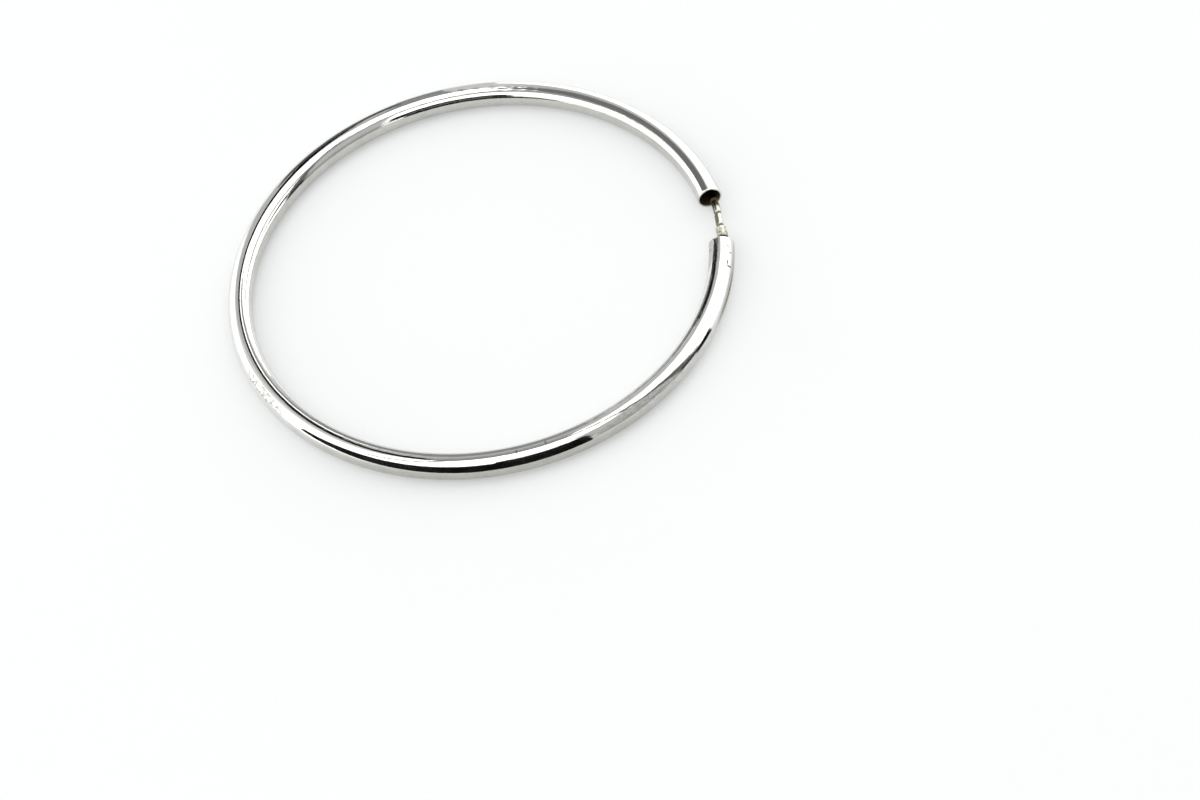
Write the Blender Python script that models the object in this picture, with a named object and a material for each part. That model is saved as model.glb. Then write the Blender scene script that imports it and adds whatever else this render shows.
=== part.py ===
"""Hoop earring: a hollow silver tube bent to a circle, with a thin ear wire that bridges its gap.

The hoop lies flat. Its axis is +Z, the origin is the hoop's centre on the surface it lies on,
and the gap for the ear faces +X. The ear wire is held by a small collar in one tube end, and
its tip lies in the open mouth of the other.
"""

import math

import bmesh
import bpy
from mathutils import Matrix, Vector

# Hoop tube
HOOP_DIAMETER = 0.060
TUBE_DIAMETER = 0.003
TUBE_WALL = 0.00025
EAR_GAP = 0.0075
TUBE_SIDES = 16
TUBE_STATIONS = 115

# Collar: a plug inside the tube's end and a neck that stands out of it
PLUG_DEPTH = 0.0022
PLUG_CLEARANCE = 0.00015
NECK_DIAMETER = 0.00125
NECK_REACH = 0.0025
NECK_STATIONS = 6
COLLAR_CHAMFER = 0.00008
COLLAR_SIDES = 16

# Ear wire
WIRE_DIAMETER = 0.0009
WIRE_CLEARANCE = 0.00006
WIRE_ROOT_SETBACK = 0.0002
WIRE_TIP_DEPTH = 0.0030
WIRE_OFFSET = 0.0003
WIRE_SAG = 0.00015
WIRE_SAG_LENGTH = 0.0062
GROOVE_PITCH = 0.00195
GROOVE_DEPTH = 0.00013
GROOVE_WIDTH = 0.0006
WIRE_SIDES = 12
WIRE_STATIONS = 60
TIP_STATIONS = 4

TUBE_RADIUS = TUBE_DIAMETER / 2
BORE_RADIUS = TUBE_RADIUS - TUBE_WALL
CENTRE_RADIUS = HOOP_DIAMETER / 2 - TUBE_RADIUS
HALF_GAP_BEARING = EAR_GAP / CENTRE_RADIUS / 2
WIRE_RADIUS = WIRE_DIAMETER / 2


def clear_scene():
    """Remove every object, so that the scene holds the earring alone."""
    for item in list(bpy.data.objects):
        bpy.data.objects.remove(item, do_unlink=True)


def metal(name, colour, roughness):
    """A bare metal of one colour."""
    material = bpy.data.materials.new(name)
    material.use_nodes = True
    shader = material.node_tree.nodes["Principled BSDF"]
    shader.inputs["Base Color"].default_value = (*colour, 1.0)
    shader.inputs["Metallic"].default_value = 1.0
    shader.inputs["Roughness"].default_value = roughness
    material.diffuse_color = (*colour, 1.0)
    return material


def add_piece(name, shape, material):
    """Turn a finished bmesh into a named object with its faces out and its round sides smooth."""
    bmesh.ops.recalc_face_normals(shape, faces=shape.faces)
    mesh = bpy.data.meshes.new(name)
    shape.to_mesh(mesh)
    shape.free()
    mesh.shade_smooth()
    mesh.set_sharp_from_angle(angle=math.radians(40))
    mesh.materials.append(material)
    piece = bpy.data.objects.new(name, mesh)
    bpy.context.scene.collection.objects.link(piece)
    return piece


def corner_radius(flat_radius, sides):
    """Corner radius of a polygon whose flats lie at the given radius."""
    return flat_radius / math.cos(math.pi / sides)


def wall_circle(shape, radius):
    """One side of the tube wall's section, a polygon in the XZ plane with a flat at the bottom."""
    corners = []
    for side in range(TUBE_SIDES):
        angle = 2 * math.pi * (side + 0.5) / TUBE_SIDES
        out = CENTRE_RADIUS + corner_radius(radius, TUBE_SIDES) * math.cos(angle)
        height = TUBE_RADIUS + corner_radius(radius, TUBE_SIDES) * math.sin(angle)
        corners.append(shape.verts.new((out, 0.0, height)))
    return [shape.edges.new((corners[side - 1], corners[side])) for side in range(TUBE_SIDES)]


def make_hoop_tube(material):
    """The tube's wall section, spun about the hoop's axis from one side of the ear gap to the other."""
    shape = bmesh.new()
    section = wall_circle(shape, TUBE_RADIUS) + wall_circle(shape, BORE_RADIUS)
    bmesh.ops.bridge_loops(shape, edges=section)
    to_gap_side = Matrix.Rotation(HALF_GAP_BEARING, 3, "Z")
    bmesh.ops.rotate(shape, verts=shape.verts, cent=(0, 0, 0), matrix=to_gap_side)
    bmesh.ops.spin(
        shape,
        geom=shape.verts[:] + shape.edges[:] + shape.faces[:],
        cent=(0, 0, 0),
        axis=(0, 0, 1),
        angle=2 * (math.pi - HALF_GAP_BEARING),
        steps=TUBE_STATIONS,
    )
    return add_piece("hoop_tube", shape, material)


def gap_ring(shape, distance, radius, sides, offset=0.0):
    """A ring of corners square to the hoop's centre line, at a distance along it from the collar's tube end.

    offset moves the ring outwards, away from the hoop's centre.
    """
    bearing = distance / CENTRE_RADIUS - HALF_GAP_BEARING
    outward = Vector((math.cos(bearing), math.sin(bearing), 0.0))
    middle = outward * (CENTRE_RADIUS + offset) + Vector((0.0, 0.0, TUBE_RADIUS))
    corners = []
    for side in range(sides):
        angle = 2 * math.pi * (side + 0.5) / sides
        across = outward * math.cos(angle) + Vector((0.0, 0.0, math.sin(angle)))
        corners.append(shape.verts.new(middle + across * corner_radius(radius, sides)))
    return corners


def join_rings(shape, first, second):
    """Four-sided faces between two rings of as many corners."""
    for side in range(len(first)):
        shape.faces.new((first[side - 1], first[side], second[side], second[side - 1]))


def wire_offset_at(distance):
    """How far the ear wire's axis lies outside the tube's centre line. It sags inwards a little in the gap."""
    if not 0 < distance < WIRE_SAG_LENGTH:
        return WIRE_OFFSET
    return WIRE_OFFSET - WIRE_SAG * math.sin(math.pi * distance / WIRE_SAG_LENGTH) ** 2


def make_wire_collar(material):
    """The collar: plug, shoulder and neck outside, and the ear wire's bore right through it."""
    plug_radius = BORE_RADIUS - PLUG_CLEARANCE
    neck_radius = NECK_DIAMETER / 2
    neck_end = NECK_REACH - COLLAR_CHAMFER
    hole_radius = WIRE_RADIUS + WIRE_CLEARANCE
    outline = [
        (-PLUG_DEPTH, plug_radius - COLLAR_CHAMFER, 0.0),
        (-PLUG_DEPTH + COLLAR_CHAMFER, plug_radius, 0.0),
        (-COLLAR_CHAMFER, plug_radius, 0.0),
        (0.0, plug_radius - COLLAR_CHAMFER, 0.0),
    ]
    for station in range(NECK_STATIONS + 1):
        distance = neck_end * station / NECK_STATIONS
        outline.append((distance, neck_radius, wire_offset_at(distance)))
    outline.append((NECK_REACH, neck_radius - COLLAR_CHAMFER, wire_offset_at(NECK_REACH)))
    for station in range(NECK_STATIONS + 1):
        distance = NECK_REACH * (1 - station / NECK_STATIONS)
        outline.append((distance, hole_radius, wire_offset_at(distance)))
    outline.append((-PLUG_DEPTH, hole_radius, WIRE_OFFSET))
    shape = bmesh.new()
    rings = [gap_ring(shape, distance, radius, COLLAR_SIDES, offset) for distance, radius, offset in outline]
    for index in range(len(rings)):
        join_rings(shape, rings[index - 1], rings[index])
    return add_piece("wire_collar", shape, material)


def wire_radius_at(distance):
    """Radius of the ear wire, narrowed by a shallow ring groove at the collar's end and at every pitch beyond."""
    beyond_first = distance - NECK_REACH - GROOVE_WIDTH / 2
    nearest = max(0, round(beyond_first / GROOVE_PITCH)) * GROOVE_PITCH
    from_groove = abs(beyond_first - nearest) / (GROOVE_WIDTH / 2)
    if from_groove >= 1:
        return WIRE_RADIUS
    return WIRE_RADIUS - GROOVE_DEPTH * (1 + math.cos(math.pi * from_groove)) / 2


def make_ear_wire(material):
    """The ear wire, from its root in the collar to its rounded tip in the open mouth."""
    root = WIRE_ROOT_SETBACK - PLUG_DEPTH
    tip = EAR_GAP + WIRE_TIP_DEPTH
    straight_end = tip - WIRE_RADIUS
    shape = bmesh.new()
    rings = []
    for station in range(WIRE_STATIONS + 1):
        distance = root + (straight_end - root) * station / WIRE_STATIONS
        radius = wire_radius_at(distance)
        rings.append(gap_ring(shape, distance, radius, WIRE_SIDES, wire_offset_at(distance)))
    for station in range(1, TIP_STATIONS):
        angle = math.pi / 2 * station / TIP_STATIONS
        distance = straight_end + WIRE_RADIUS * math.sin(angle)
        radius = wire_radius_at(straight_end) * math.cos(angle)
        rings.append(gap_ring(shape, distance, radius, WIRE_SIDES, WIRE_OFFSET))
    for first, second in zip(rings, rings[1:]):
        join_rings(shape, first, second)
    shape.faces.new(rings[0])
    shape.faces.new(rings[-1])
    return add_piece("ear_wire", shape, material)


clear_scene()
make_hoop_tube(metal("polished_silver", (0.88, 0.88, 0.86), 0.08))
make_wire_collar(metal("tarnished_silver", (0.36, 0.35, 0.27), 0.45))
make_ear_wire(metal("worn_silver", (0.78, 0.77, 0.70), 0.20))
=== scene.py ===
"""A large polished silver hoop earring of hollow tube, lying on a pale table under soft studio light."""

import math

import bpy
import numpy as np
from mathutils import Matrix, Vector


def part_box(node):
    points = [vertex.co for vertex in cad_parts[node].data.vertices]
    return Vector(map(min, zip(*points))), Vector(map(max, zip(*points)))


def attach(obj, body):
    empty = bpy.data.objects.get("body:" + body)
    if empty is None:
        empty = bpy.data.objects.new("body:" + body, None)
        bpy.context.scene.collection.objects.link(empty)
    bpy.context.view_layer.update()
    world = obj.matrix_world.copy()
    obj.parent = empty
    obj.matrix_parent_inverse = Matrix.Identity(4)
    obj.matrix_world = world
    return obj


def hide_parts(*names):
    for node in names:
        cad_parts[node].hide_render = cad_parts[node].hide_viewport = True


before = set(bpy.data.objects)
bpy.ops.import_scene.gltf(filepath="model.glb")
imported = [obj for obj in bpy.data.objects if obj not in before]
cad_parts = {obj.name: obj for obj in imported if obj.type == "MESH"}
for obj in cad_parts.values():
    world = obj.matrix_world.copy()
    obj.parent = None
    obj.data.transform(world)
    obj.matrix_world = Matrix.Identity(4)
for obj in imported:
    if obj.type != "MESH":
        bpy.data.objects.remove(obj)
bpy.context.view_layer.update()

# The hoop tube: a length of thin-walled silver tube, bent to a circle on a former and cut square at both
# ends. Its wall is a quarter of a millimetre thick. It was polished after bending and has been worn since, so
# its bright surface is very slightly uneven, finely scratched along its length and nicked in a few places.
tube_low, tube_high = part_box("hoop_tube")
tube_radius = (tube_high.z - tube_low.z) / 2
tube_wall = 0.00025
bore_radius = tube_radius - tube_wall
hoop_radius = 0.030
centre_radius = hoop_radius - tube_radius
ear_gap = 0.0075
half_gap_bearing = ear_gap / centre_radius / 2
rim_rounding = 0.00006
tube_sides = 48
outside_stations = 900
bore_stations = 160
rim_stations = 6


def hoop_rings(stations, sides, relief=None):
    """Rings of points square to the hoop's centre line, one for each (bearing, radius, bow) station.

    relief, where it is given, takes the bearings and the angles round the tube and gives each point's height
    above its ring.
    """
    bearing, radius, bow = (np.array(column)[:, None] for column in zip(*stations))
    angle = 2 * math.pi * (np.arange(sides)[None, :] + 0.5) / sides
    height = np.zeros((len(stations), sides)) if relief is None else relief(bearing, angle, radius)
    out = centre_radius + bow + (radius + height) * np.cos(angle)
    level = tube_radius + (radius + height) * np.sin(angle)
    return np.stack([out * np.cos(bearing), out * np.sin(bearing), level], axis=2)


def skin_rings(name, rings, closed):
    """A smooth mesh over successive rings: closed on itself, or with a flat cap at each end."""
    count, sides = rings.shape[:2]
    index = np.arange(count * sides).reshape(count, sides)
    following = np.roll(index, -1, axis=0) if closed else index[1:]
    current = index if closed else index[:-1]
    beside = np.roll(current, -1, axis=1)
    following_beside = np.roll(following, -1, axis=1)
    faces = np.stack([current, following, following_beside, beside], axis=2).reshape(-1, 4).tolist()
    if not closed:
        faces.append(index[0].tolist())
        faces.append(index[-1][::-1].tolist())
    mesh = bpy.data.meshes.new(name)
    mesh.from_pydata(rings.reshape(-1, 3).tolist(), [], faces)
    mesh.shade_smooth()
    piece = bpy.data.objects.new(name, mesh)
    bpy.context.scene.collection.objects.link(piece)
    return piece


def rim_arc(bearing, sign, from_radius, to_radius):
    """The worn, rounded edge of a tube end, from one radius to another round the end of the wall."""
    stations = []
    middle_radius = (from_radius + to_radius) / 2
    half_wall = (to_radius - from_radius) / 2
    for step in range(rim_stations + 1):
        turn = math.pi * step / rim_stations
        across = middle_radius - half_wall * math.cos(turn)
        along = rim_rounding * math.sin(turn)
        stations.append((bearing + sign * (along - rim_rounding) / centre_radius, across, 0.0))
    return stations


# Each long wave of the surface is its height and how often it swings for each radian round the hoop.
bending_wave = (0.0000016, 57)
polishing_wave = (0.0000011, 131)
buffing_wave = (0.0000030, 19)

# The ripples at the top of the far side: their height and pitch, then in degrees the bearings between which
# they lie, the angle round the tube at which they are highest, their reach from it, and how softly they end.
ripple_height = 0.000018
ripple_pitch = 0.00193
ripple_bearings = (68, 96)
ripple_angle = 103
ripple_spread = 9
ripple_fading = 1.2

# Each dent is a bearing round the hoop and an angle round the tube in degrees, then its half width and depth.
tube_dents = [
    (-16.0, 70.0, 0.00055, 0.000016),
    (-21.0, 40.0, 0.0005, 0.000012),
    (-55.0, 20.0, 0.0009, 0.000014),
    (-62.0, 50.0, 0.0008, 0.000014),
    (203.0, 30.0, 0.0006, 0.000012),
    (214.0, 45.0, 0.0005, 0.000010),
    (228.0, 25.0, 0.0006, 0.000012),
    (96.0, 120.0, 0.0006, 0.000008),
]


def tube_relief(bearing, angle, radius):
    """The outside's slight unevenness: shallow waves left by bending and polishing, dents and ripples."""
    height, swings = bending_wave
    waves = height * np.sin(bearing * swings + 2.0 * np.sin(angle)) * np.sin(2 * angle + 0.7)
    height, swings = polishing_wave
    waves = waves + height * np.sin(bearing * swings + 1.3) * np.cos(3 * angle + bearing * 9)
    height, swings = buffing_wave
    waves = waves + height * np.sin(bearing * swings + 0.4) * np.sin(angle - 0.5)
    for dent_bearing, dent_angle, half_width, depth in tube_dents:
        along = (bearing - math.radians(dent_bearing) + math.pi) % (2 * math.pi) - math.pi
        around = (angle - math.radians(dent_angle) + math.pi) % (2 * math.pi) - math.pi
        spread = (along * centre_radius / half_width) ** 2 + (around * tube_radius / half_width) ** 2
        waves = waves - depth * np.exp(-spread)
    turn = np.degrees((bearing + math.pi) % (2 * math.pi) - math.pi)
    first, last = ripple_bearings
    rippled = 1 / (1 + np.exp((first - turn) / ripple_fading)) / (1 + np.exp((turn - last) / ripple_fading))
    rippled = rippled * np.exp(-(((angle - math.radians(ripple_angle)) / math.radians(ripple_spread)) ** 2))
    waves = waves + ripple_height * rippled * np.cos(bearing * centre_radius / ripple_pitch * 2 * math.pi)
    outside = (radius > tube_radius - rim_rounding / 2) * 1.0
    return waves * outside


gap_side_a = half_gap_bearing
gap_side_b = 2 * math.pi - half_gap_bearing
edge_setback = rim_rounding / centre_radius
tube_stations = []
for step in range(outside_stations + 1):
    share = step / outside_stations
    bearing = gap_side_a + edge_setback + (gap_side_b - gap_side_a - 2 * edge_setback) * share
    tube_stations.append((bearing, tube_radius, 0.0))
tube_stations += rim_arc(gap_side_b, 1, tube_radius, bore_radius)[1:-1]
for step in range(bore_stations + 1):
    share = step / bore_stations
    bearing = gap_side_b - edge_setback - (gap_side_b - gap_side_a - 2 * edge_setback) * share
    tube_stations.append((bearing, bore_radius, 0.0))
tube_stations += rim_arc(gap_side_a, -1, bore_radius, tube_radius)[1:-1]
hoop = skin_rings("hoop_tube_polished", hoop_rings(tube_stations, tube_sides, tube_relief), closed=True)


class Finish:
    """A socket of one finish. Python's operators on it add Math nodes, and node() adds any other node."""

    def __init__(self, tree, socket):
        self.tree = tree
        self.socket = socket

    def node(self, kind, settings=None, sockets=None, result=0):
        """Add a node: its kind, its settings, then its sockets' values or links. One output is given back."""
        made = self.tree.nodes.new(kind)
        for name, value in (settings or {}).items():
            setattr(made, name, value)
        for name, value in (sockets or {}).items():
            if isinstance(value, Finish):
                self.tree.links.new(value.socket, made.inputs[name])
            else:
                made.inputs[name].default_value = value
        return Finish(self.tree, made.outputs[result])

    def math(self, operation, *others):
        """A Math node on this value and others."""
        values = dict(enumerate((self, *others)))
        return self.node("ShaderNodeMath", {"operation": operation}, values)

    def __add__(self, other):
        return self.math("ADD", other)

    __radd__ = __add__

    def __sub__(self, other):
        return self.math("SUBTRACT", other)

    def __rsub__(self, other):
        return self.node("ShaderNodeMath", {"operation": "SUBTRACT"}, {0: other, 1: self})

    def __mul__(self, other):
        return self.math("MULTIPLY", other)

    __rmul__ = __mul__

    def __truediv__(self, other):
        return self.math("DIVIDE", other)

    def __pow__(self, other):
        return self.math("POWER", other)

    def between(self, low, high):
        """0 below the low value, 1 above the high one and smooth in between."""
        return self.node(
            "ShaderNodeMapRange",
            {"interpolation_type": "SMOOTHSTEP"},
            {"Value": self, "From Min": low, "From Max": high},
        )

    def parts(self):
        """The x, y and z of a vector."""
        split = self.node("ShaderNodeSeparateXYZ", sockets={"Vector": self}).socket.node
        return [Finish(self.tree, split.outputs[axis]) for axis in "XYZ"]

    def mix(self, first, second):
        """A colour between two, by this value."""
        sockets = {"Factor": self, 6: first, 7: second}
        return self.node("ShaderNodeMix", {"data_type": "RGBA"}, sockets, result=2)


def metal_finish(name):
    """A bare-metal material, its shader, and a place on the hoop as one vector and as x, y and z, in mm."""
    material = bpy.data.materials.new(name)
    material.use_nodes = True
    tree = material.node_tree
    shader = tree.nodes["Principled BSDF"]
    shader.inputs["Metallic"].default_value = 1.0
    metres = Finish(tree, None).node("ShaderNodeTexCoord", result="Object")
    place = metres.node("ShaderNodeVectorMath", {"operation": "SCALE"}, {"Vector": metres, "Scale": 1000.0})
    return material, shader, place, *place.parts()


def joined(first, second, third):
    """A vector from three values."""
    return first.node("ShaderNodeCombineXYZ", sockets={"X": first, "Y": second, "Z": third})


def noise(where, scale, detail=2.0, roughness=0.5):
    """Soft random blotches from 0 to 1, so many of them for each mm."""
    sockets = {"Vector": where, "Scale": scale, "Detail": detail, "Roughness": roughness}
    return where.node("ShaderNodeTexNoise", sockets=sockets)


def connect(shader, name, value):
    """Feed one of the shader's sockets."""
    value.tree.links.new(value.socket, shader.inputs[name])


tube_radius_mm = tube_radius * 1000
bore_radius_mm = bore_radius * 1000
centre_radius_mm = centre_radius * 1000
clean_silver = (0.86, 0.86, 0.845, 1.0)
dulled_and_shaded_silver = (0.33, 0.325, 0.285, 1.0)
stain_and_shade_colour = (0.13, 0.125, 0.095, 1.0)
soot_dark = (0.12, 0.10, 0.055, 1.0)
soot_light = (0.42, 0.35, 0.23, 1.0)

# Each entry is a stain or a band of painted shade: a bearing round the hoop and an angle inwards from the
# tube's top, in degrees, then its half length and half width in mm, and how much of the metal it hides. The
# long ones at -22, -19 and -92 are painted shade, darker bands of reflection along the sides; the broad one
# at -11 darkens the inner side by the ear gap; the others are small stains.
stains_and_shade_bands = [
    (-22, -80, 4.0, 0.16, 0.5),
    (-88.8, -6, 0.13, 0.24, 0.8),
    (-82, 1, 0.11, 0.22, 0.7),
    (-16, -46, 0.16, 0.34, 1.0),
    (-15, -36, 0.42, 0.10, 1.0),
    (-12, -47, 0.11, 0.26, 0.9),
    (-10.3, -35, 0.11, 0.2, 0.9),
    (-10.6, 62, 0.11, 0.36, 0.8),
    (-19, -84, 7.0, 0.75, 0.5),
    (-11, 60, 3.2, 0.8, 0.4),
    (-92, 38, 24.0, 0.55, 0.22),
]

polished, shader, place, x, y, z = metal_finish("polished_silver")
out = (x * x + y * y) ** 0.5 - centre_radius_mm
up = z - tube_radius_mm
along = (0.0 - y).math("ARCTAN2", 0.0 - x) * centre_radius_mm
around = (0.0 - out).math("ARCTAN2", up) * tube_radius_mm
skin = joined(along, around, 0.0)
streaks = noise(joined(along * 0.22, around, 0.0), 5.5, detail=5.0, roughness=0.7)
grain = noise(skin, 7.0, detail=2.0)
haze = noise(skin, 0.45, detail=4.0).between(0.35, 0.75)
specks = noise(skin, 5.5, detail=3.0, roughness=0.6).between(0.66, 0.74)


def mark(bearing, angle, half_length, half_width):
    """A ragged dark patch, a stain or a band of painted shade: its bearing and its angle inwards from the
    tube's top in degrees, its sizes in mm.
    """
    middle = math.radians((bearing + 360) % 360 - 180) * centre_radius_mm
    line = math.radians(angle) * tube_radius_mm
    edge = ((along - middle) / half_length) ** 2 + ((around - line) / half_width) ** 2 + grain * 1.6
    return 1 - edge.between(1.2, 2.0)


speckles = noise(skin, 2.2, detail=5.0, roughness=0.7).between(0.44, 0.58)
smears = noise(joined(along * 0.4, around, 0.0), 3.2, detail=4.0, roughness=0.65).between(0.42, 0.62)
marks_and_painted_shade = speckles * mark(-154.5, -40, 5.0, 0.55) * 0.7
marks_and_painted_shade = marks_and_painted_shade + smears * mark(-50, -46, 10.5, 0.65) * 0.30
# Painted shade as well as stains: the long entries at -22, -19 and -92 are bands of painted shade.
for patch_bearing, patch_angle, half_length, half_width, strength in stains_and_shade_bands:
    marks_and_painted_shade = marks_and_painted_shade + mark(patch_bearing, patch_angle, half_length, half_width) * strength

# Painted shade: the sides are darker than the top, for the darker reflection of the shaded table: the outer
# one most on the near side, the inner one most on the far side.
near_outer_shade = 0.68
far_outer_shade = 0.12
near_inner_shade = 0.26
far_inner_shade = 0.54
outer_shade_strength = near_outer_shade - y.between(-29, -10) * (near_outer_shade - far_outer_shade)
inner_shade_strength = y.between(-8, 16) * (far_inner_shade - near_inner_shade) + near_inner_shade
outer_painted_shade = (1 - up.between(0.35, 1.3)) * outer_shade_strength
inner_painted_shade = (1 - up.between(0.7, 1.0)) * inner_shade_strength
painted_shade = inner_painted_shade + out.between(-0.3, 0.3) * (outer_painted_shade - inner_painted_shade)
# Painted shade and the metal's own dullness together: the haze, specks, streaks and grain are its own.
dullness_and_painted_shade = painted_shade + haze * 0.10 + specks * 0.5 + (streaks - 0.5) * 0.5 + (grain - 0.5) * 0.4
silver = marks_and_painted_shade.mix(dullness_and_painted_shade.mix(clean_silver, dulled_and_shaded_silver), stain_and_shade_colour)
from_middle = (out * out + up * up) ** 0.5 + (grain - 0.5) * 0.12
soot = 1 - from_middle.between(bore_radius_mm + 0.01, tube_radius_mm - 0.10)
connect(shader, "Base Color", soot.mix(silver, grain.between(0.35, 0.65).mix(soot_dark, soot_light)))
scratches = streaks.between(0.55, 0.8)
connect(shader, "Roughness", 0.05 + haze * 0.05 + scratches * 0.08 + specks * 0.25 + marks_and_painted_shade * 0.2 + soot * 0.4)
bump = place.node(
    "ShaderNodeBump",
    sockets={"Strength": 0.2, "Distance": 0.00002, "Height": scratches * 0.5 - specks * 0.6 + grain * 0.2},
)
connect(shader, "Normal", bump)
hoop.data.materials.append(polished)
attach(hoop, "root")
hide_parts("hoop_tube")

# The wire collar: a small silver bush pressed into one tube end, whose short neck grips the ear wire.
# It is never polished, so it has gone dull and olive grey, with a mottled, slightly pitted surface.
neck_radius = 0.000625
neck_reach = 0.0025
plug_clearance = 0.00015
plug_radius = bore_radius - plug_clearance
plug_depth = 0.0022
wire_radius = 0.00045
wire_clearance = 0.00006
wire_hole_radius = wire_radius + wire_clearance
collar_rounding = 0.00008
rounding_middle = collar_rounding * 0.3
wire_outside = 0.0003
wire_sag = 0.00015
wire_sag_length = 0.0062
collar_sides = 48
collar_steps = 30
pit_depth = 0.000010


def gap_bearing(distance):
    """Bearing of a place in the ear gap, by its distance along the centre line from the collar's tube end."""
    return distance / centre_radius - half_gap_bearing


def wire_offset(distance):
    """How far the wire and the neck lie outside the tube's centre line, less where they sag in the gap."""
    share = distance / wire_sag_length
    sag = math.sin(math.pi * share) ** 2 if 0 < share < 1 else 0.0
    return wire_outside - wire_sag * sag


def pitted(bearing, angle, radius):
    """Small pits and lumps of the unpolished collar."""
    lumps = np.sin(bearing * 410 + 2 * angle) * np.sin(3 * angle + 1.0) + np.sin(bearing * 700 - 5 * angle)
    outside = radius > wire_hole_radius * 1.05
    return pit_depth * lumps * outside


collar_outline = [
    (-plug_depth, plug_radius - collar_rounding, 0.0),
    (-plug_depth + collar_rounding, plug_radius, 0.0),
    (-collar_rounding, plug_radius, 0.0),
    (-rounding_middle, plug_radius - rounding_middle, 0.0),
    (0.0, plug_radius - collar_rounding, 0.0),
]
for step in range(collar_steps + 1):
    distance = (neck_reach - collar_rounding) * step / collar_steps
    collar_outline.append((distance, neck_radius, wire_offset(distance)))
collar_outline += [
    (neck_reach - rounding_middle, neck_radius - rounding_middle, wire_offset(neck_reach)),
    (neck_reach, neck_radius - collar_rounding, wire_offset(neck_reach)),
]
for step in range(collar_steps + 1):
    distance = neck_reach * (1 - step / collar_steps)
    collar_outline.append((distance, wire_hole_radius, wire_offset(distance)))
collar_outline.append((-plug_depth, wire_hole_radius, wire_outside))
collar_stations = [(gap_bearing(distance), radius, offset) for distance, radius, offset in collar_outline]
collar = skin_rings("wire_collar_tarnished", hoop_rings(collar_stations, collar_sides, pitted), closed=True)

tarnish_dark = (0.20, 0.20, 0.13, 1.0)
tarnish_pale = (0.84, 0.83, 0.75, 1.0)
foot_dirt_and_shade = (0.03, 0.033, 0.014, 1.0)


def from_tube_end(x, y):
    """Distance in mm along the hoop's centre line from the collar's tube end, for a place in the ear gap."""
    return y.math("ARCTAN2", x) * centre_radius_mm + ear_gap * 1000 / 2


tarnished, shader, place, x, y, _ = metal_finish("tarnished_silver")
from_end = from_tube_end(x, y)
blotches = noise(place, 3.0, detail=4.0, roughness=0.65).between(0.36, 0.60)
grime = noise(place, 6.5, detail=3.0, roughness=0.6).between(0.45, 0.65)
# The neck's colour: random blotches, less grime, and lighter towards its far end. Up to about 1 mm out from
# the tube end, and inside it, the collar is near black: painted shade where it meets the tube end, with dirt.
neck_lightness = blotches * 0.75 + from_end.between(1.3, 2.4) * 0.3 - grime * 0.2
neck_colour = neck_lightness.mix(tarnish_dark, tarnish_pale)
connect(shader, "Base Color", from_end.between(0.82, 1.12).mix(foot_dirt_and_shade, neck_colour))
connect(shader, "Roughness", 0.30 + grime * 0.25)
bump = place.node(
    "ShaderNodeBump",
    sockets={"Strength": 0.5, "Distance": 0.00004, "Height": blotches + grime * 0.5},
)
connect(shader, "Normal", bump)
collar.data.materials.append(tarnished)
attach(collar, "root")
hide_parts("wire_collar")

# The ear wire: a drawn silver wire that goes through the ear, from the collar to the open mouth of the tube.
# Shallow ring grooves at an even pitch let it click in the mouth. It sags a little and has a round tip.
groove_pitch = 0.00195
groove_depth = 0.00013
groove_width = 0.0006
wire_tip_depth = 0.0030
root_setback = 0.0002
wire_root = root_setback - plug_depth
wire_sides = 32
wire_steps = 160
tip_steps = 10


def wire_station(distance):
    """Bearing, radius and outward offset of the ear wire at a distance from the collar's tube end."""
    beyond_first = distance - neck_reach - groove_width / 2
    nearest = max(0, round(beyond_first / groove_pitch)) * groove_pitch
    from_groove = abs(beyond_first - nearest) / (groove_width / 2)
    radius = wire_radius
    if from_groove < 1:
        radius -= groove_depth * (1 + math.cos(math.pi * from_groove)) / 2
    return gap_bearing(distance), radius, wire_offset(distance)


tip_start = ear_gap + wire_tip_depth - wire_radius
wire_stations = []
for step in range(wire_steps + 1):
    wire_stations.append(wire_station(wire_root + (tip_start - wire_root) * step / wire_steps))
for step in range(1, tip_steps):
    turn = math.pi / 2 * step / tip_steps
    bearing = gap_bearing(tip_start + wire_radius * math.sin(turn))
    wire_stations.append((bearing, wire_radius * math.cos(turn), wire_outside))
wire = skin_rings("ear_wire_grooved", hoop_rings(wire_stations, wire_sides), closed=False)

groove_pitch_mm = groove_pitch * 1000
wire_middle_outward_mm = 0.17
wire_bright = (0.72, 0.72, 0.64, 1.0)
wire_dirt_and_shade = (0.085, 0.080, 0.038, 1.0)
tip_dirt_and_shade = (0.045, 0.036, 0.018, 1.0)

worn, shader, place, x, y, _ = metal_finish("worn_silver")
from_end = from_tube_end(x, y)
inner_side = (centre_radius_mm + wire_middle_outward_mm) - (x * x + y * y) ** 0.5
first_groove_mm = (neck_reach + groove_width / 2) * 1000
past_groove = ((from_end - first_groove_mm) / groove_pitch_mm + 0.5).math("FRACT") - 0.5
from_groove = past_groove.math("ABSOLUTE") * groove_pitch_mm
rubbed = noise(place, 2.4, detail=4.0).between(0.45, 0.75)
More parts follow.
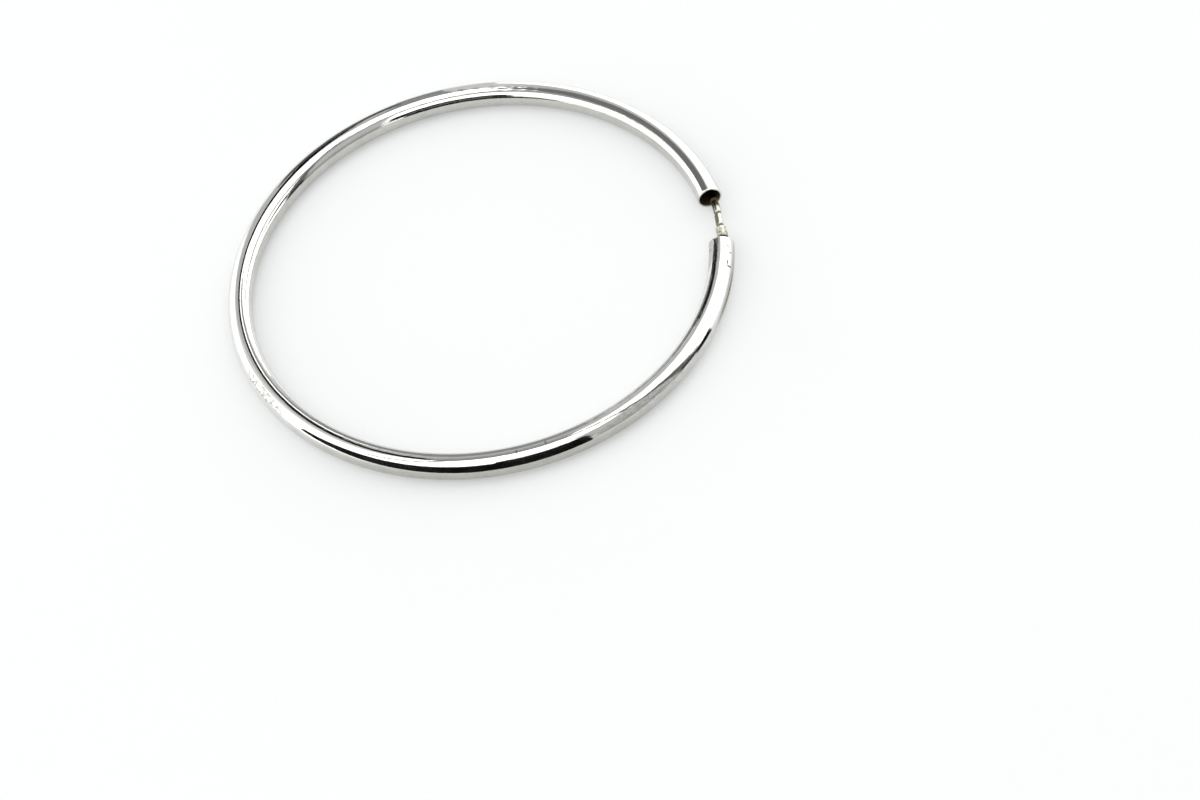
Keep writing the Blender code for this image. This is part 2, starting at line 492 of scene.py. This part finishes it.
# Painted shade with dirt and tarnish: darker in the grooves, along the inner side where it would reflect
# darker things, and from 5.3 mm out towards the tip, by and in the tube's shaded mouth. The rubbed blotches
# are the wire's own.
dirt_and_shade = (1 - from_groove.between(0.05, 0.30)) * 0.8
dirt_and_shade = dirt_and_shade.math("MAXIMUM", inner_side.between(0.0, 0.26) * 0.85)
dirt_and_shade = dirt_and_shade + rubbed * 0.25
connect(shader, "Base Color", from_end.between(5.3, 6.0).mix(dirt_and_shade.mix(wire_bright, wire_dirt_and_shade), tip_dirt_and_shade))
connect(shader, "Roughness", 0.16 + dirt_and_shade * 0.22)
bump = place.node("ShaderNodeBump", sockets={"Strength": 0.2, "Distance": 0.00002, "Height": rubbed})
connect(shader, "Normal", bump)
wire.data.materials.append(worn)
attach(wire, "root")
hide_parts("ear_wire")

# The camera: above and in front of the hoop, and turned a little about its own axis, as in the photograph.
# Its focal length and the hoop's place from the picture's middle are in pixels of a picture 1200 wide.
camera_distance = 0.350
camera_elevation = math.radians(48.3)
camera_bearing = math.radians(3.2 - 90)
camera_roll = math.radians(-14.3)
focal_pixels = 2984
picture_width = 1200
hoop_centre_from_middle = (-120.6, 129.3)
hoop_centre = Vector((0, 0, tube_radius))
to_camera = Vector(
    (
        math.cos(camera_elevation) * math.cos(camera_bearing),
        math.cos(camera_elevation) * math.sin(camera_bearing),
        math.sin(camera_elevation),
    )
)
lens = bpy.data.cameras.new("camera")
lens.sensor_width = 36
lens.lens = focal_pixels / picture_width * lens.sensor_width
camera = bpy.data.objects.new("camera", lens)
bpy.context.scene.collection.objects.link(camera)
camera.location = hoop_centre + to_camera * camera_distance
facing = (-to_camera).to_track_quat("-Z", "Y") @ Matrix.Rotation(camera_roll, 3, "Z").to_quaternion()
seen_at = Vector((*hoop_centre_from_middle, -focal_pixels))
facing = facing @ Vector((0, 0, -1)).rotation_difference(seen_at).inverted()
camera.rotation_mode = "QUATERNION"
camera.rotation_quaternion = facing
bpy.context.scene.camera = camera

# The table: a plain matt white board, on which the hoop lies by its own weight. It glows very faintly, so
# that it comes out nearly white all over and still takes a soft shadow at the hoop's foot.
table_reach = 2.0
table_corners = [(x * table_reach, y * table_reach, 0) for x, y in ((-1, -1), (1, -1), (1, 1), (-1, 1))]
table_mesh = bpy.data.meshes.new("table")
table_mesh.from_pydata(table_corners, [], [(0, 1, 2, 3)])
table = bpy.data.objects.new("table", table_mesh)
bpy.context.scene.collection.objects.link(table)
board = bpy.data.materials.new("white_board")
board.use_nodes = True
board_shader = board.node_tree.nodes["Principled BSDF"]
board_shader.inputs["Base Color"].default_value = (0.468, 0.475, 0.478, 1.0)
board_shader.inputs["Emission Color"].default_value = (0.985, 1.0, 1.0, 1.0)
board_shader.inputs["Emission Strength"].default_value = 0.34
board_shader.inputs["Roughness"].default_value = 0.8
board_shader.inputs["Specular IOR Level"].default_value = 0.2
table.data.materials.append(board)

# The light: a white tent all round and over the table, with its lamps outside, so that its cloth glows
# evenly. Some parts of it are dimmer and show as grey and black bands in the polished tube: the far side, the
# right side with a dark fold at its edge, and a low opening on the near side.
tent_radius = 1.6
tent_foot_depth = 0.001
tent_rings = 16
tent_sides = 32
tent_glow = 1.75
tent_points = []
for ring in range(tent_rings + 1):
    height = math.pi / 2 * ring / tent_rings
    for side in range(tent_sides):
        turn = 2 * math.pi * side / tent_sides
        reach = tent_radius * math.cos(height)
        level = tent_radius * math.sin(height) - tent_foot_depth
        tent_points.append((reach * math.cos(turn), reach * math.sin(turn), level))
tent_faces = []
for ring in range(tent_rings):
    for side in range(tent_sides):
        lower = ring * tent_sides + side
        beside = ring * tent_sides + (side + 1) % tent_sides
        tent_faces.append((lower, beside, beside + tent_sides, lower + tent_sides))
tent_mesh = bpy.data.meshes.new("light_tent")
tent_mesh.from_pydata(tent_points, [], tent_faces)
tent = bpy.data.objects.new("light_tent", tent_mesh)
bpy.context.scene.collection.objects.link(tent)
tent_cloth = bpy.data.materials.new("tent_cloth")
tent_cloth.use_nodes = True
tree = tent_cloth.node_tree
tree.nodes.clear()
x, y, z = Finish(tree, None).node("ShaderNodeTexCoord", result="Object").parts()
height = z.math("ARCTAN2", (x * x + y * y) ** 0.5) * (180 / math.pi)
turned = y.math("ARCTAN2", x) * (180 / math.pi) - math.degrees(camera_bearing)
near_bearing = turned.math("WRAP", -180.0, 180.0)
far_bearing = (turned + 180).math("WRAP", -180.0, 180.0)

# Each dim patch of the cloth is its glow, then in degrees the two bearings between which it lies, its two
# heights and the softness of its edges. Bearings start at the far side, or at the camera's side for the near
# patches, and grow anticlockwise.
far_patches = [
    (0.78, -12, 50, 36, 67, 3.0),
    (0.52, -6, 28, 0, 65, 5.0),
]
near_patches = [
    (0.54, 25, 78, -5, 64, 2.5),
    (0.04, 66, 78, -5, 20, 2.0),
    (0.14, 66, 78, 20, 70, 2.0),
    (0.01, -33, 22, 13, 35, 1.5),
]


def dimmed(glow, across, patches):
    """The tent's glow with dim patches, whose bearings are read from across."""
    for dim_glow, left, right, low, high, soft in patches:
        inside = across.between(left - soft, left + soft) * (1 - across.between(right - soft, right + soft))
        inside = inside * height.between(low - soft, low + soft)
        inside = inside * (1 - height.between(high - soft, high + soft))
        glow = glow + inside * (dim_glow - glow)
    return glow


glow = dimmed(height * 0 + tent_glow, far_bearing, far_patches)
glow = dimmed(glow, near_bearing, near_patches)
emission = glow.node("ShaderNodeEmission", sockets={"Color": (1.0, 1.0, 0.985, 1.0), "Strength": glow})
output = tree.nodes.new("ShaderNodeOutputMaterial")
tree.links.new(emission.socket, output.inputs["Surface"])
tent.data.materials.append(tent_cloth)
tent.visible_camera = False

# The cards: small matt boards, cut to shape and painted black or grey, that are held close to the hoop. Only
# its polish shows them, as the bands along the near side, at both sides of the ear gap and across the far
# side. Their points are in mm.


def card_paint(name, brightness):
    """Matt paint for the cards."""
    paint = bpy.data.materials.new(name)
    paint.use_nodes = True
    paint_shader = paint.node_tree.nodes["Principled BSDF"]
    paint_shader.inputs["Base Color"].default_value = (brightness, brightness, brightness, 1.0)
    paint_shader.inputs["Roughness"].default_value = 1.0
    paint_shader.inputs["Specular IOR Level"].default_value = 0.0
    return paint


black_paint = card_paint("black_paint", 0.004)
dark_paint = card_paint("dark_paint", 0.10)
middle_paint = card_paint("middle_paint", 0.17)
grey_paint = card_paint("grey_paint", 0.36)
slate_paint = card_paint("slate_paint", 0.27)
pale_paint = card_paint("pale_paint", 0.62)


def place_card(name, points, faces, paint):
    """A card that only the hoop's polish shows. Its points are in mm."""
    mesh = bpy.data.meshes.new(name)
    mesh.from_pydata([(x / 1000, y / 1000, z / 1000) for x, y, z in points], [], faces)
    card = bpy.data.objects.new(name, mesh)
    bpy.context.scene.collection.objects.link(card)
    card.data.materials.append(paint)
    card.visible_camera = False
    card.visible_diffuse = False
    card.visible_shadow = False


def flat_card(name, corners, paint):
    """A flat card with these corners."""
    place_card(name, corners, [tuple(range(len(corners)))], paint)


# The near card is bent to an arc in front of the hoop. Its foot sinks and its head rises from left to right.
near_card_radius = 43
near_card_start = -66
near_card_sweep = 84
near_card_steps = 40
foot_start = 5.5
foot_fall = 9
head_start = 10.5
head_rise = 45
head_bend = 15.5
head_slow_rise = 10
head_top = 18.0
near_points = []
for step in range(near_card_steps + 1):
    share = step / near_card_steps
    turn = camera_bearing + math.radians(near_card_start + near_card_sweep * share)
    foot = max(0.0, foot_start - foot_fall * share)
    head = min(head_top, head_start + head_rise * share, head_bend + head_slow_rise * share)
    for level in (foot, head):
        near_points.append((near_card_radius * math.cos(turn), near_card_radius * math.sin(turn), level))
near_faces = [(2 * step, 2 * step + 2, 2 * step + 3, 2 * step + 1) for step in range(near_card_steps)]
place_card("near_card", near_points, near_faces, black_paint)

# The others are flat: one held up in front, a low one at the right with a foot, four over the ear gap and the
# far side, two upright behind the hoop, two level ones over the near side, and a tall strip at the far left.
flat_card("held_card", [(-12, -75, 27), (36, -75, 27), (36, -75, 75), (-12, -75, 75)], black_paint)
flat_card("right_card", [(38.5, -22.5, 0), (38.5, -16.5, 0), (38.5, -16.5, 6), (38.5, -22.5, 6)], black_paint)
foot_outline = [
    (32, -21.5),
    (38.5, -22.5),
    (38.5, -16.5),
    (32, -16.5),
]
flat_card("right_foot", [(x, y, 0.3) for x, y in foot_outline], black_paint)
flat_card("gap_card", [(6, 21, 20), (3, 30, 19), (14, 36, 26), (26, 31, 33), (20, 22, 29.5)], middle_paint)
top_outline = [
    (-4, 17),
    (1, 14),
    (12, 26),
    (14, 37),
    (6.5, 37),
    (6, 27.5),
]
flat_card("top_card", [(x, y, 25) for x, y in top_outline], grey_paint)
flat_card("far_card", [(-7, 40, 12), (-27, 33, 12), (-45, 85, 12), (-12, 100, 12)], dark_paint)
flat_card("gap_flap", [(20.5, 10.6, 16), (9.8, 18.7, 12), (9.4, 18.9, 14), (17.8, 12.7, 27)], black_paint)
flat_card("far_board", [(-9, 50, 2), (-1.5, 50, 2), (-1, 50, 25), (3, 50, 60), (-9, 50, 60)], slate_paint)
pale_outline = [
    (-2, 2),
    (7, 2),
    (7, 45),
    (3, 60),
    (-1.5, 25),
]
flat_card("pale_board", [(x, 50.5, z) for x, z in pale_outline], pale_paint)
flat_card("low_shade", [(-12, -23, 20.2), (8, -23, 20.2), (7, -14, 20.2), (-11, -14, 20.2)], grey_paint)
rim_outline = [
    (-28, -27.5),
    (-14, -27.5),
    (-10, -24),
    (11, -24.5),
    (20, -27),
    (50, -32),
    (50, -30.5),
    (20, -25),
    (11, -22.5),
    (-10, -22),
    (-14, -26),
    (-28, -26),
]
flat_card("low_rim", [(x, y, 20) for x, y in rim_outline], dark_paint)
strip_outline = [
    (-17, 15),
    (-14, 80),
    (-22, 95),
    (-25, 285),
    (-65, 285),
    (-44, 115),
    (-33, 75),
    (-29, 15),
]
flat_card("back_strip", [(x, 68, z) for x, z in strip_outline], black_paint)

# The room: plain and pale. It shows only beyond the table's edge, in a picture taken from low down, because
# the camera looks through the tent's cloth.
world = bpy.data.worlds.new("pale_room")
world.use_nodes = True
world.node_tree.nodes["Background"].inputs["Color"].default_value = (0.93, 0.935, 0.94, 1.0)
world.node_tree.nodes["Background"].inputs["Strength"].default_value = 1.0
bpy.context.scene.world = world
bpy.context.scene.view_settings.view_transform = "Standard"
